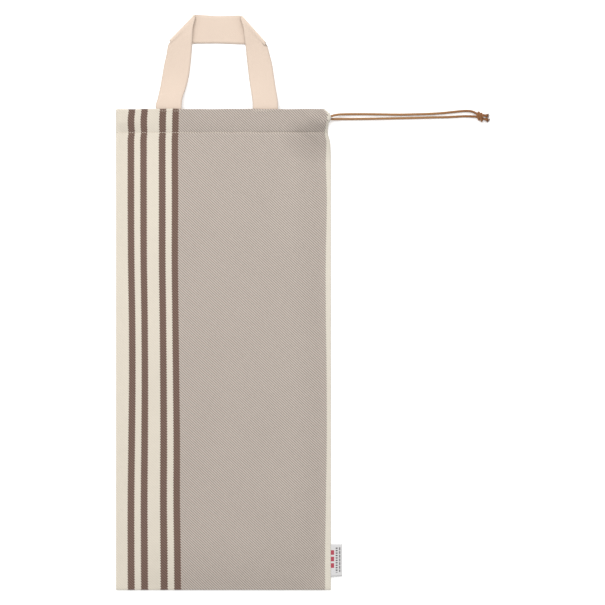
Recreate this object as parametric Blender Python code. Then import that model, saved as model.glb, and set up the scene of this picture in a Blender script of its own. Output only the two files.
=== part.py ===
"""A linen bread bag, laid out flat: one folded cloth, a webbing handle, a side label and a drawstring.

Axes: +Y to the mouth of the bag, +X to the open side of the casing, +Z up. The origin is on the
underside, in the middle of the bag. Sizes are in metres.
"""

import math

import bmesh
import bpy
from mathutils import Vector

MM = 0.001

# Driving sizes
BAG_WIDTH = 300 * MM
BAG_LENGTH = 671 * MM
CASING_DEPTH = 30.6 * MM
CLOTH = 1.0 * MM
WEBBING = 1.5 * MM
LABEL_LAYER = 1.0 * MM
CORD = 3.4 * MM
GAP = 0.3 * MM

LEFT_EDGE = -BAG_WIDTH / 2
MOUTH_EDGE = BAG_LENGTH / 2
STITCH_LINE = MOUTH_EDGE - CASING_DEPTH
CASING_SPACE = CORD + 2 * GAP

# The bag's sections, from the bottom seam to the mouth. Each row: distance along the bag, right edge,
# then how far the front stands above the back (middle to middle of the cloth) at the left fold, at the
# right seam and between them, and how far the turned hem lies inside the outer cloth. All in mm.
SECTION_COLUMNS = ("along", "right", "left_rise", "right_rise", "middle_rise", "hem_inset")
BODY_SECTIONS = (
    (-332.5, 150.0, 2.4, 2.4, 3.2, 0.0),
    (-324.0, 150.0, 2.4, 2.4, 5.6, 0.0),
    (-308.0, 150.0, 2.4, 2.4, 9.0, 0.0),
    (-284.0, 150.0, 2.4, 2.4, 12.0, 0.0),
    (-245.0, 150.0, 2.4, 2.4, 13.0, 0.0),
    (-160.0, 150.0, 2.4, 2.4, 13.1, 0.0),
    (-60.0, 150.0, 2.4, 2.4, 13.0, 0.0),
    (40.0, 150.0, 2.4, 2.4, 13.0, 0.0),
    (140.0, 150.0, 2.6, 2.4, 13.1, 0.0),
    (210.0, 150.0, 3.4, 2.8, 13.4, 0.0),
    (255.0, 150.0, 5.0, 3.6, 14.0, 0.0),
    (280.0, 149.5, 6.6, 4.4, 14.6, 0.0),
    (292.0, 148.4, 7.8, 5.0, 14.9, 0.0),
    (299.0, 146.2, 8.6, 5.6, 15.1, 0.0),
)
CASING_SECTIONS = (
    (304.9, 145.3, 9.4, 6.4, 15.3, 1.3),
    (309.0, 146.0, 10.6, 8.6, 15.5, 2.0),
    (313.5, 147.0, 11.8, 11.2, 15.6, 3.6),
    (317.5, 147.8, 12.6, 12.6, 15.6, 4.7),
    (321.0, 148.2, 12.6, 12.6, 15.6, 5.0),
    (325.0, 148.0, 12.6, 12.6, 15.6, 5.0),
    (329.5, 146.4, 12.6, 12.6, 15.6, 4.4),
    (332.0, 144.6, 12.6, 12.6, 15.6, 3.0),
    (334.0, 141.5, 12.4, 12.4, 15.6, 2.0),
)
SLIT_FROM = 317.5 * MM
SLIT_TO = 329.5 * MM
SLIT_ANGLE = 60
SHOULDER = 50.0 * MM
SLIT_ROOM = 4.0 * MM

# Where a section has its points: round each end, and across, as distances from the end.
END_ANGLES = (0, 30, 60)
SHOULDER_STEPS = (0.0, 0.2, 0.45, 0.72, 1.0)
MIDDLE_STEPS = 4
HEM_FOLD_ANGLES = (45, 90, 135)

# The handle, as lines across the webbing from the middle of the loop to an end. Each row: the end of
# the line on the loop's inner side, the end on its outer side, and the height of the middle. All in mm.
STRAP_COLUMNS = ("inner_x", "inner_y", "outer_x", "outer_y", "height")
LEFT_STRAP = (
    (-6.0, 465.3, -6.0, 427.1, 0.75),
    (-24.0, 466.4, -28.0, 427.0, 0.75),
    (-37.0, 467.2, -52.0, 427.4, 0.75),
)
LEFT_FOLD = ((-41.0, 467.5), (-75.8, 431.4))
LEFT_LEG = (
    (-42.3, 450.0, -77.2, 425.0, 2.60),
    (-43.6, 427.5, -79.4, 412.0, 2.75),
    (-45.2, 406.0, -82.4, 399.0, 3.2),
    (-48.0, 383.0, -85.8, 379.0, 4.6),
    (-52.0, 366.0, -89.0, 361.5, 7.2),
    (-57.0, 351.0, -91.8, 348.0, 10.6),
    (-58.3, 340.0, -93.2, 339.0, 12.4),
)
LEFT_END = (-58.3, -93.2)
RIGHT_STRAP = (
    (9.0, 465.8, 12.0, 426.4, 0.75),
    (21.8, 466.2, 35.8, 426.1, 0.75),
)
RIGHT_FOLD = ((25.8, 466.2), (59.7, 428.5))
RIGHT_LEG = (
    (27.6, 449.0, 61.6, 422.0, 2.60),
    (30.4, 426.5, 64.4, 412.0, 2.75),
    (32.6, 406.0, 67.6, 399.5, 3.2),
    (35.2, 383.0, 70.8, 378.5, 4.6),
    (37.6, 366.0, 73.4, 361.5, 7.2),
    (40.0, 351.0, 75.6, 348.0, 10.6),
    (41.0, 340.0, 76.3, 339.0, 12.4),
)
RIGHT_END = (41.0, 76.3)
STRAP_FOLD_RADIUS = 0.9 * MM
STRAP_SEGMENTS = 3

# The drawstring's free strands, from the slit to the knot, as points on the middle of the cord, in mm.
STRAND_COLUMNS = ("x", "y", "z")
FRONT_STRAND = (
    (149.6, 325.0, 8.3),
    (153.8, 326.5, 6.9),
    (159.2, 327.6, 5.0),
    (168.0, 328.2, 2.9),
    (178.0, 328.4, 1.9),
    (198.7, 328.4, 1.75),
    (222.0, 328.1, 1.75),
    (246.9, 327.8, 1.75),
    (270.0, 328.3, 1.75),
    (294.8, 329.2, 1.75),
    (308.0, 330.2, 1.75),
    (318.8, 331.3, 1.75),
    (330.0, 332.4, 1.8),
    (338.5, 332.9, 2.1),
    (344.5, 332.6, 2.6),
    (348.8, 331.5, 3.1),
    (351.6, 330.1, 3.6),
)
BACK_STRAND = (
    (149.8, 321.4, 4.5),
    (156.0, 321.4, 3.8),
    (164.0, 321.6, 2.6),
    (174.0, 321.6, 1.8),
    (190.0, 321.7, 1.75),
    (210.0, 322.0, 1.75),
    (230.8, 322.4, 1.75),
    (255.0, 322.9, 1.75),
    (278.8, 323.5, 1.75),
    (296.0, 323.9, 1.75),
    (310.9, 324.2, 1.75),
    (324.0, 324.9, 1.75),
    (335.0, 325.4, 1.8),
    (343.0, 325.4, 2.2),
    (351.3, 325.0, 2.8),
)
STRAND_STEP = 9 * MM
LOOP_FRONT_ENTRY = ((149.2, 324.9, 8.4), (145.2, 324.3, 9.4), (141.0, 323.8, 10.2))
LOOP_BACK_ENTRY = ((149.2, 321.4, 4.55), (145.2, 321.8, 4.4), (141.0, 322.6, 3.6))
LOOP_ALONG = 323.2 * MM
LOOP_TURN = 136.0 * MM
LOOP_STEPS = 24

# The knot: a round lump with two stub ends beyond it.
KNOT_CENTRE = Vector((358.0, 324.9, 5.0)) * MM
KNOT_SIZE = Vector((11.0, 15.4, 9.6)) * MM
KNOT_LEAN = -14
STUB_ENDS = (
    ("drawstring_end_upper", ((364.1, 326.7, 3.6), (366.4, 327.0, 2.6), (369.4, 327.2, 1.9))),
    ("drawstring_end_lower", ((364.1, 321.4, 3.4), (366.8, 320.4, 2.5), (369.6, 319.2, 1.9))),
)

# The label, a folded tape that stands out of the right seam.
LABEL_ALONG = (-271.6 * MM, -316.6 * MM)
LABEL_ROOT = 150.3 * MM
LABEL_TIP = 165.6 * MM
LABEL_ROOT_RISE = 0.7 * MM


def row_of(columns, values):
    """One table row as a dictionary in metres."""
    return {name: value * MM for name, value in zip(columns, values)}


def smooth_step(share):
    share = min(max(share, 0.0), 1.0)
    return share * share * (3 - 2 * share)


def material(name, colour, roughness):
    made = bpy.data.materials.new(name)
    made.use_nodes = True
    shader = made.node_tree.nodes["Principled BSDF"]
    shader.inputs["Base Color"].default_value = (*colour, 1)
    shader.inputs["Roughness"].default_value = roughness
    shader.inputs["Metallic"].default_value = 0.0
    made.diffuse_color = (*colour, 1)
    return made


def add_object(name, data, finish):
    data.materials.append(finish)
    made = bpy.data.objects.new(name, data)
    bpy.context.scene.collection.objects.link(made)
    return made


def thicken(obj, thickness):
    """Gives a sheet its thickness, half to each side."""
    solid = obj.modifiers.new("Thickness", "SOLIDIFY")
    solid.thickness = thickness
    solid.offset = 0.0
    solid.use_even_offset = True
    solid.use_quality_normals = True


def sheet_from_lines(name, lines, finish, thickness):
    """A sheet through lines of points, all of the same count, thickened to a solid."""
    bm = bmesh.new()
    bmesh.ops.create_grid(bm, x_segments=len(lines[0]) - 1, y_segments=len(lines) - 1, size=1.0)
    for vert in bm.verts:
        column = round((vert.co.x + 1) / 2 * (len(lines[0]) - 1))
        row = round((vert.co.y + 1) / 2 * (len(lines) - 1))
        vert.co = lines[row][column]
    mesh = bpy.data.meshes.new(name)
    bm.to_mesh(mesh)
    bm.free()
    made = add_object(name, mesh, finish)
    thicken(made, thickness)
    return made


# The bag's cloth


def front_rise(section, x):
    """How far the front stands above the back at x, middle to middle of the cloth."""
    left_end = LEFT_EDGE + CLOTH / 2 + section["left_rise"] / 2
    right_end = section["right"] - CLOTH / 2 - section["right_rise"] / 2
    left_share = 1 - smooth_step((x - left_end) / SHOULDER)
    right_share = 1 - smooth_step((right_end - x) / SHOULDER)
    left_drop = (section["middle_rise"] - section["left_rise"]) * left_share
    right_drop = (section["middle_rise"] - section["right_rise"]) * right_share
    return section["middle_rise"] - left_drop - right_drop


def ring(section, inset):
    """The points round one section of the bag, from the right seam over the front and back again."""
    left_radius = section["left_rise"] / 2
    right_radius = section["right_rise"] / 2
    left_end = LEFT_EDGE + CLOTH / 2 + left_radius
    right_end = section["right"] - CLOTH / 2 - right_radius - SLIT_ROOM * inset / (CLOTH + CASING_SPACE)
    across = [right_end - SHOULDER * share for share in SHOULDER_STEPS]
    inner_width = right_end - left_end - 2 * SHOULDER
    across += [across[-1] - inner_width * step / MIDDLE_STEPS for step in range(1, MIDDLE_STEPS)]
    across += [left_end + SHOULDER * share for share in reversed(SHOULDER_STEPS)]
    middle = CLOTH / 2

    def end_point(centre, radius, side, angle):
        reach = (radius - inset) * math.cos(math.radians(angle))
        height = radius + (radius - inset) * math.sin(math.radians(angle))
        return centre + side * reach, middle + height

    points = [end_point(right_end, right_radius, 1, angle) for angle in END_ANGLES]
    points += [(x, middle + front_rise(section, x) - inset) for x in across]
    points += [end_point(left_end, left_radius, -1, angle) for angle in reversed(END_ANGLES)]
    points += [end_point(left_end, left_radius, -1, -angle) for angle in END_ANGLES[1:]]
    points += [(x, middle + inset) for x in reversed(across)]
    points += [end_point(right_end, right_radius, 1, -angle) for angle in reversed(END_ANGLES)]
    return points


def bottom_line(section):
    """The bottom seam, where front and back meet."""
    along = (CLOTH - BAG_LENGTH) / 2
    height = CLOTH / 2 + section["right_rise"] / 2
    return [Vector((x, along, height)) for x, _ in ring(section, 0.0)]


def bag_lines():
    """The cloth from the bottom seam up the outside, over the mouth's edge and down the turned hem."""
    body = [row_of(SECTION_COLUMNS, values) for values in BODY_SECTIONS]
    casing = [row_of(SECTION_COLUMNS, values) for values in CASING_SECTIONS]
    lines = [bottom_line(body[0])]
    for section in body + casing:
        lines.append([Vector((x, section["along"], z)) for x, z in ring(section, 0.0)])
    top = casing[-1]
    half = top["hem_inset"] / 2
    for angle in HEM_FOLD_ANGLES:
        inset = half * (1 - math.cos(math.radians(angle)))
        along = top["along"] + half * math.sin(math.radians(angle))
        lines.append([Vector((x, along, z)) for x, z in ring(top, inset)])
    for section in reversed(casing):
        lines.append([Vector((x, section["along"], z)) for x, z in ring(section, section["hem_inset"])])
    return lines


def cut_slit(bm, rows, columns):
    """Opens the side seam where the drawstring comes out."""
    sections = BODY_SECTIONS + CASING_SECTIONS
    low = 1 + [values[0] * MM for values in sections].index(SLIT_FROM)
    high = 1 + [values[0] * MM for values in sections].index(SLIT_TO)
    wide = END_ANGLES.index(SLIT_ANGLE)
    opened = []
    for face in bm.faces:
        centre = face.calc_center_median()
        column = int((centre.x + 1) / 2 * columns)
        row = int((centre.y + 1) / 2 * rows)
        if low <= row < high and (column < wide or column >= columns - wide):
            opened.append(face)
    bmesh.ops.delete(bm, geom=opened, context="FACES")


def make_bag(finish):
    lines = bag_lines()
    rows = len(lines) - 1
    columns = len(lines[0]) - 1
    bm = bmesh.new()
    bmesh.ops.create_grid(bm, x_segments=columns, y_segments=rows, size=1.0)
    cut_slit(bm, rows, columns)
    for vert in bm.verts:
        column = round((vert.co.x + 1) / 2 * columns)
        row = round((vert.co.y + 1) / 2 * rows)
        vert.co = lines[row][column]
    bmesh.ops.remove_doubles(bm, verts=bm.verts, dist=0.01 * MM)
    bmesh.ops.recalc_face_normals(bm, faces=bm.faces)
    mesh = bpy.data.meshes.new("bag_body")
    bm.to_mesh(mesh)
    bm.free()
    made = add_object("bag_body", mesh, finish)
    thicken(made, CLOTH)
    return made


# The handle


def line_across(row):
    inner = Vector((row["inner_x"], row["inner_y"], row["height"]))
    outer = Vector((row["outer_x"], row["outer_y"], row["height"]))
    return inner, outer


def fold_lines(fold, lower, upper):
    """The lines across the webbing as it turns over on itself along a slanted fold."""
    inner = Vector((*fold[0], 0)) * MM
    outer = Vector((*fold[1], 0)) * MM
    along = (outer - inner).normalized()
    outward = along.cross(Vector((0, 0, 1)))
    if outward.y < 0:
        outward.negate()
    radius = (upper - lower) / 2
    centre = Vector((0, 0, (upper + lower) / 2)) - outward * (radius + WEBBING / 2)
    lines = []
    for angle in (-90, -45, 0, 45, 90):
        turn = math.radians(angle)
        shift = centre + outward * radius * math.cos(turn) + Vector((0, 0, radius * math.sin(turn)))
        lines.append((inner + shift, outer + shift))
    return lines


def casing_underside(x, section):
    """The height of the lower face of the front casing's turned hem."""
    return front_rise(section, x) - section["hem_inset"]


def end_lines(ends):
    """The end of the webbing inside the mouth, against the turned hem."""
    lines = []
    for values in reversed(CASING_SECTIONS[1:]):
        section = row_of(SECTION_COLUMNS, values)
        points = []
        for x in ends:
            height = casing_underside(x * MM, section) - GAP - WEBBING / 2
            points.append(Vector((x * MM, section["along"], height)))
        lines.append(tuple(points))
    return lines


def strap_half(strap, fold, leg, ends):
    flat = [line_across(row_of(STRAP_COLUMNS, values)) for values in strap]
    leg_rows = [row_of(STRAP_COLUMNS, values) for values in leg]
    lower = WEBBING / 2
    turned = fold_lines(fold, lower, lower + 2 * STRAP_FOLD_RADIUS)
    return flat + turned + [line_across(row) for row in leg_rows] + end_lines(ends)


def make_handle(finish):
    left = strap_half(LEFT_STRAP, LEFT_FOLD, LEFT_LEG, LEFT_END)
    right = strap_half(RIGHT_STRAP, RIGHT_FOLD, RIGHT_LEG, RIGHT_END)
    lines = []
    for inner, outer in list(reversed(left)) + right:
        steps = [step / STRAP_SEGMENTS for step in range(STRAP_SEGMENTS + 1)]
        lines.append([inner.lerp(outer, share) for share in steps])
    return sheet_from_lines("handle", lines, finish, WEBBING)


# The label


def make_label(finish):
    """A tape folded at its outer end, with both ends in the side seam."""
    half = (LABEL_LAYER + GAP) / 2
    turn = LABEL_TIP - LABEL_LAYER / 2 - half
    low = LABEL_LAYER / 2
    halfway = (LABEL_ROOT + turn) / 2
    profile = [(LABEL_ROOT, low + LABEL_ROOT_RISE), (halfway, low + LABEL_ROOT_RISE / 2), (turn, low)]
    bend = []
    for angle in (-45, 0, 45):
        turned = math.radians(angle)
        bend.append((turn + half * math.cos(turned), low + half + half * math.sin(turned)))
    back = [(x, z + 2 * half) for x, z in reversed(profile)]
    lines = []
    for along in LABEL_ALONG:
        lines.append([Vector((x, along, z)) for x, z in profile + bend + back])
    return sheet_from_lines("label", lines, finish, LABEL_LAYER)


# The drawstring


def tube(name, points, finish):
    """A cord of the drawstring's thickness along straight steps between points."""
    curve = bpy.data.curves.new(name, "CURVE")
    curve.dimensions = "3D"
    curve.bevel_depth = CORD / 2
    curve.bevel_resolution = 2
    curve.use_fill_caps = True
    spline = curve.splines.new("POLY")
    spline.points.add(len(points) - 1)
    for slot, point in zip(spline.points, points):
        slot.co = (*point, 1)
    return add_object(name, curve, finish)


def smooth_route(route, step):
    """Points about one step apart on a smooth curve through the route's own points."""
    knots = [Vector(values) * MM for values in route]
    ends = [2 * knots[0] - knots[1]] + knots + [2 * knots[-1] - knots[-2]]
    points = []
    for before, start, stop, after in zip(ends, ends[1:], ends[2:], ends[3:]):
        count = max(1, round((stop - start).length / step))
        for index in range(count):
            t = index / count
            pull = (stop - before) * (t - 2 * t * t + t ** 3) + (after - start) * (t ** 3 - t * t)
            points.append(start * (1 - smooth_step(t)) + stop * smooth_step(t) + pull * 0.5)
    return points + [knots[-1]]


def casing_loop():
    """The stretch inside the casing: across the front, round the left fold, back under the mouth."""
    level = row_of(SECTION_COLUMNS, CASING_SECTIONS[4])
    cord_inset = CLOTH / 2 + GAP + CORD / 2
    radius = level["left_rise"] / 2
    left_end = LEFT_EDGE + CLOTH / 2 + radius
    span = LOOP_TURN - left_end
    across = [LOOP_TURN - span * step / LOOP_STEPS for step in range(LOOP_STEPS + 1)]
    points = [Vector(values) * MM for values in LOOP_FRONT_ENTRY]
    for x in across:
        points.append(Vector((x, LOOP_ALONG, CLOTH / 2 + front_rise(level, x) - cord_inset)))
    for angle in (60, 30, 0, -30, -60):
        reach = (radius - cord_inset) * math.cos(math.radians(angle))
        height = radius + (radius - cord_inset) * math.sin(math.radians(angle))
        points.append(Vector((left_end - reach, LOOP_ALONG, CLOTH / 2 + height)))
    for x in reversed(across):
        points.append(Vector((x, LOOP_ALONG, CLOTH / 2 + cord_inset)))
    points += [Vector(values) * MM for values in reversed(LOOP_BACK_ENTRY)]
    return points


def make_knot(finish):
    bm = bmesh.new()
    bmesh.ops.create_uvsphere(bm, u_segments=14, v_segments=9, radius=0.5)
    bmesh.ops.scale(bm, vec=KNOT_SIZE, verts=bm.verts)
    mesh = bpy.data.meshes.new("drawstring_knot")
    bm.to_mesh(mesh)
    bm.free()
    made = add_object("drawstring_knot", mesh, finish)
    made.rotation_euler.z = math.radians(-KNOT_LEAN)
    made.location = KNOT_CENTRE
    return made


def make_drawstring(finish):
    tube("drawstring_casing", casing_loop(), finish)
    tube("drawstring_front", smooth_route(FRONT_STRAND, STRAND_STEP), finish)
    tube("drawstring_back", smooth_route(BACK_STRAND, STRAND_STEP), finish)
    make_knot(finish)
    for name, route in STUB_ENDS:
        tube(name, smooth_route(route, CORD), finish)


def main():
    for obj in list(bpy.data.objects):
        bpy.data.objects.remove(obj)
    make_bag(material("linen_twill", (0.50, 0.43, 0.37), 0.9))
    make_handle(material("cotton_webbing", (0.86, 0.72, 0.62), 0.85))
    make_label(material("woven_label", (0.80, 0.79, 0.78), 0.5))
    make_drawstring(material("braided_cord", (0.33, 0.21, 0.13), 0.8))


main()
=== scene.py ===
# %% [markdown]
# # A linen bread bag, laid flat
# This bag carries baguettes. It is one striped twill cloth, folded on the left and sewn on the right and
# along the bottom. Its mouth is turned in to make a casing for a brown braided cord, a folded loop of
# cotton webbing makes the handle, and a small satin label is caught in the side seam.
#
# A frame of plain solids fixes every place and size. This script only dresses it, so it first loads the
# frame and keeps the size of the box that all the finished pieces have to stay in.

# %% Load the frame
import math
from collections import namedtuple

import bmesh
import bpy
import numpy as np
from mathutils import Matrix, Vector


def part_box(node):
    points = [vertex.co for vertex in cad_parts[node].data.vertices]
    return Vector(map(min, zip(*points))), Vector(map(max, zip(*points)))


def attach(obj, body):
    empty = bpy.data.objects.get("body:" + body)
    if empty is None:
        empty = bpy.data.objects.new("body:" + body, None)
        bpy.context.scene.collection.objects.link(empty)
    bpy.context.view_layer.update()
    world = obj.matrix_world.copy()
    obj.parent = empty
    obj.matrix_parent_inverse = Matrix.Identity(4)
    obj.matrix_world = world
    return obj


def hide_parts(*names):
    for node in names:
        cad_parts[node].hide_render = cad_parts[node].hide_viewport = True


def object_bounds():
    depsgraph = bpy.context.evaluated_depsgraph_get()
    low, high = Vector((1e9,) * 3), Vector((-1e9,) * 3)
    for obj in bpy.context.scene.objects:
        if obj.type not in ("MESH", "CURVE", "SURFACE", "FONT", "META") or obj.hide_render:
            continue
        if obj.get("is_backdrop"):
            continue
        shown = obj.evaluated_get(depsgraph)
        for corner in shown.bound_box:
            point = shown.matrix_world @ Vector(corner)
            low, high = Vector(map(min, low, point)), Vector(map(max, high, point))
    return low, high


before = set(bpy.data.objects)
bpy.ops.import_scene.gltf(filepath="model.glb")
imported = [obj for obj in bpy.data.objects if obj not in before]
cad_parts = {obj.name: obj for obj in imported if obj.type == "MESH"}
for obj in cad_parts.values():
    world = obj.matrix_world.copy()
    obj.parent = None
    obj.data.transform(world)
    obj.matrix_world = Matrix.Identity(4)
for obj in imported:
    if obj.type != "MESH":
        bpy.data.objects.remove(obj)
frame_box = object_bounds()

MM = 0.001
scene = bpy.context.scene


def in_mm(sizes):
    return [round(size / MM, 1) for size in sizes]


print("frame nodes:", ", ".join(sorted(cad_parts)))
print("frame box, mm:", [in_mm(corner) for corner in frame_box])

# %% [markdown]
# ## Camera
# The bag is seen from straight above. A long lens from twelve metres up shows it nearly without
# perspective. A short lens close by would show the sides of every fold.

# %% Camera
VIEW_WIDTH = 0.8438
VIEW_CENTRE = (0.1103, 0.0656)
CAMERA_HEIGHT = 12.0
CLOTH_LEVEL = 0.008

lens = bpy.data.cameras.new("camera")
lens.sensor_width = 36.0
lens.lens = lens.sensor_width * CAMERA_HEIGHT / VIEW_WIDTH
camera = bpy.data.objects.new("camera", lens)
camera.location = (*VIEW_CENTRE, CAMERA_HEIGHT + CLOTH_LEVEL)
scene.collection.objects.link(camera)
scene.camera = camera
print(f"lens {lens.lens:.0f} mm, {CAMERA_HEIGHT} m above the cloth")

# %% [markdown]
# ## Helpers for smooth lines and cloth
# Cloth and cord have no corners, so every table of sizes is read through one smooth curve. Its slope at
# a row comes from the rows on both sides, the nearer one counting more, so that it doesn't overshoot.


# %% A smooth curve through the rows of a table
def smooth_through(places, rows, at):
    """The rows' values as one smooth curve, read at any places."""
    places = np.asarray(places, float)
    rows = np.asarray(rows, float).reshape(len(places), -1)
    steps = np.diff(places)[:, None]
    slopes = np.diff(rows, axis=0) / steps
    middle = (steps[1:] * slopes[:-1] + steps[:-1] * slopes[1:]) / (steps[1:] + steps[:-1])
    tangents = np.vstack([slopes[:1], middle, slopes[-1:]])
    at = np.clip(np.atleast_1d(at), places[0], places[-1])
    index = np.clip(np.searchsorted(places, at, side="right") - 1, 0, len(steps) - 1)
    size = steps[index]
    t = (at - places[index])[:, None] / size
    start, stop = rows[index], rows[index + 1]
    bend = tangents[index] * (1 - t) - tangents[index + 1] * t
    return start + (stop - start) * t * t * (3 - 2 * t) + bend * size * t * (1 - t)


def smooth_step(share):
    share = np.clip(share, 0.0, 1.0)
    return share * share * (3 - 2 * share)


def lengths_along(points):
    """How far along a line of points each of them is."""
    return np.concatenate([[0.0], np.cumsum(np.linalg.norm(np.diff(points, axis=0), axis=1))])


def together(*values):
    """Several arrays spread over the same grid, as the last axis of one."""
    return np.stack(np.broadcast_arrays(*values), axis=-1)


# %% [markdown]
# Cloth, webbing, tape and cord all start as a flat grid that is laid on rows of places. It keeps a
# cloth map, in metres along and across the threads, so a weave or a stripe follows the cloth round
# every fold. Each finished piece stays at the origin and rides on the frame.


# %% A grid laid on rows of places
SAME_PLACE = 0.001 * MM


def new_mesh():
    """An empty bmesh, and its cloth map."""
    bm = bmesh.new()
    return bm, bm.loops.layers.uv.new("cloth_map")


def laid_grid(name, places, marks, left_out=None, capped=False):
    """A mesh from a grid, with a place and a mark on the cloth map for each row and column."""
    rows, columns = places.shape[0] - 1, places.shape[1] - 1
    bm, cloth_map = new_mesh()
    bmesh.ops.create_grid(bm, x_segments=columns, y_segments=rows, size=1.0)

    def row_and_column(point, whole):
        return whole((point.y + 1) / 2 * rows), whole((point.x + 1) / 2 * columns)

    if left_out:
        opened = [face for face in bm.faces if left_out(*row_and_column(face.calc_center_median(), int))]
        bmesh.ops.delete(bm, geom=opened, context="FACES")
    for face in bm.faces:
        face.smooth = True
        for loop in face.loops:
            loop[cloth_map].uv = marks[row_and_column(loop.vert.co, round)]
    for vert in bm.verts:
        vert.co = places[row_and_column(vert.co, round)]
    bmesh.ops.remove_doubles(bm, verts=bm.verts, dist=SAME_PLACE)
    if capped:
        bmesh.ops.edgeloop_fill(bm, edges=[edge for edge in bm.edges if edge.is_boundary])
    bmesh.ops.recalc_face_normals(bm, faces=bm.faces)
    return finished_mesh(name, bm)


def finished_mesh(name, bm):
    """Closes a bmesh and puts it in the scene as an object at the origin."""
    mesh = bpy.data.meshes.new(name)
    bm.to_mesh(mesh)
    bm.free()
    made = bpy.data.objects.new(name, mesh)
    scene.collection.objects.link(made)
    return made


def thicken(piece, thickness):
    solid = piece.modifiers.new("thickness", "SOLIDIFY")
    solid.thickness = thickness
    solid.offset = 0.0
    solid.use_even_offset = solid.use_quality_normals = True
    return piece


def dress(piece, finish, slot, *nodes):
    """Gives a piece its finish, and makes it stand for the frame's plain solids. The slot is not used."""
    piece.data.materials.append(finish)
    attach(piece, "root")
    if nodes:
        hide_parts(*nodes)
    print(f"{piece.name}: {len(piece.data.polygons)} faces")
    return piece


# %% [markdown]
# ## Finishes: a small vocabulary
# A woven finish is worked out from the cloth map by many sums, and each sum is one Math node. A small
# class holds a node's output, so that the usual signs make these nodes and the sums stay easy to read.
# A value that is the same all over a piece is set straight on the shader.


# %% Helpers for finishes
def sign(operation):
    """What a sign between two values does: it makes a Math node."""
    return lambda first, second: calc(operation, first, second)


class Value:
    """A node's output, for sums with other values and with numbers."""

    def __init__(self, socket):
        self.socket = socket

    def __rsub__(self, number):
        return calc("SUBTRACT", number, self)

    __add__, __sub__, __mul__ = sign("ADD"), sign("SUBTRACT"), sign("MULTIPLY")
    __truediv__, __mod__ = sign("DIVIDE"), sign("FLOORED_MODULO")
    __lt__, __gt__ = sign("LESS_THAN"), sign("GREATER_THAN")


def new_node(kind, values, inputs, **settings):
    """The outputs of a new node. Each named input gets a Value, a colour or a number."""
    tree = next(value.socket.id_data for value in values if isinstance(value, Value))
    node = tree.nodes.new(kind)
    for name, setting in settings.items():
        setattr(node, name, setting)
    for value, place in zip(values, inputs):
        if isinstance(value, Value):
            tree.links.new(value.socket, node.inputs[place])
        else:
            node.inputs[place].default_value = (*value, 1) if isinstance(value, tuple) else value
    return [Value(output) for output in node.outputs]


def calc(operation, *values):
    """One sum on a Math node."""
    return new_node("ShaderNodeMath", values, (0, 1, 2), operation=operation)[0]


def mix_colour(*values, blend="MIX"):
    """A share of the second colour over the first."""
    return new_node("ShaderNodeMix", values, (0, 6, 7), data_type="RGBA", blend_type=blend)[2]


def times(colour, tone):
    return mix_colour(1.0, colour, tone, blend="MULTIPLY")


def spread_between(value, low, high):
    """A 0 to 1 value spread between two numbers."""
    return calc("MULTIPLY_ADD", value, high - low, low)


def on_piece(tree):
    """Where a point is on the piece, in metres."""
    return Value(tree.nodes.new("ShaderNodeTexCoord").outputs["Object"])


def split(place):
    return new_node("ShaderNodeSeparateXYZ", [place], [0])


def noise(place, scale, detail):
    """Soft clouds from 0 to 1, so many to a metre."""
    return new_node("ShaderNodeTexNoise", (place, scale, detail), ("Vector", "Scale", "Detail"))[0]


def new_finish(name, roughness, sheen=0.0):
    finish = bpy.data.materials.new(name)
    finish.use_nodes = True
    shader = finish.node_tree.nodes["Principled BSDF"]
    shader.inputs["Roughness"].default_value = roughness
    shader.inputs["Sheen Weight"].default_value = sheen
    shader.inputs["Specular IOR Level"].default_value = 0.25
    return finish, finish.node_tree


def cloth_marks(tree, across_pitch, along_pitch):
    """The cloth map, counted in threads across and along."""
    source = tree.nodes.new("ShaderNodeUVMap")
    source.uv_map = "cloth_map"
    across, along, _ = split(Value(source.outputs[0]))
    return across / across_pitch, along / along_pitch


def with_surface(finish, colour, height, depth):
    """A finish with its colour, and with a bump so many metres deep."""
    shader = finish.node_tree.nodes["Principled BSDF"]
    bump = new_node("ShaderNodeBump", (height, depth, 1.0), ("Height", "Distance", "Strength"))[0]
    finish.node_tree.links.new(colour.socket, shader.inputs["Base Color"])
    finish.node_tree.links.new(bump.socket, shader.inputs["Normal"])
    return finish


# %% [markdown]
# ### One weave for cloth, webbing and tape
# In a plain or twill weave a thread goes over some crossing threads and then under as many. The counts
# of the threads both ways, added up, say which of the two is on top and how far along its float it is.
# A float of one gives plain weave, and a float of two gives the diagonal lines of twill.


# %% Weave
def weave(across, along, floats):
    """Which thread is on top (1 for the lengthwise one) and how high it stands, from 0 to 1."""
    step = (calc("FLOOR", across) + calc("FLOOR", along)) % (2 * floats)
    warp_on_top = step < floats - 0.5

    def float_height(thread, crossing, first):
        side = calc("SINE", calc("FRACT", thread) * math.pi)
        share = (step + calc("FRACT", crossing) - first) / floats
        rise = calc("SINE", share * math.pi)
        return calc("POWER", calc("MAXIMUM", side * rise, 0.0), 0.5)

    warp = float_height(across, along, 0)
    weft = float_height(along, across, floats)
    return warp_on_top, warp_on_top * warp + (1.0 - warp_on_top) * weft


# %% [markdown]
# ## The drawstring's cord
# The cord is a round braid of brown yarn, 3.4 mm thick. A curve with a round bevel would give a smooth
# rubber tube, so a fine grid is rolled round its route instead. Two families of yarns wind round it in
# opposite directions, over each other in turn, and the grid stands higher on the yarn that is on top.

# %% The braid
CORD = 3.4 * MM
PLAIT_YARNS = 6
PLAIT_PITCH = 11.0 * MM
PLAIT_DEPTH = 0.17
TAPER_TO = 0.35
FLARE_LENGTH = 4.0 * MM


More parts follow.
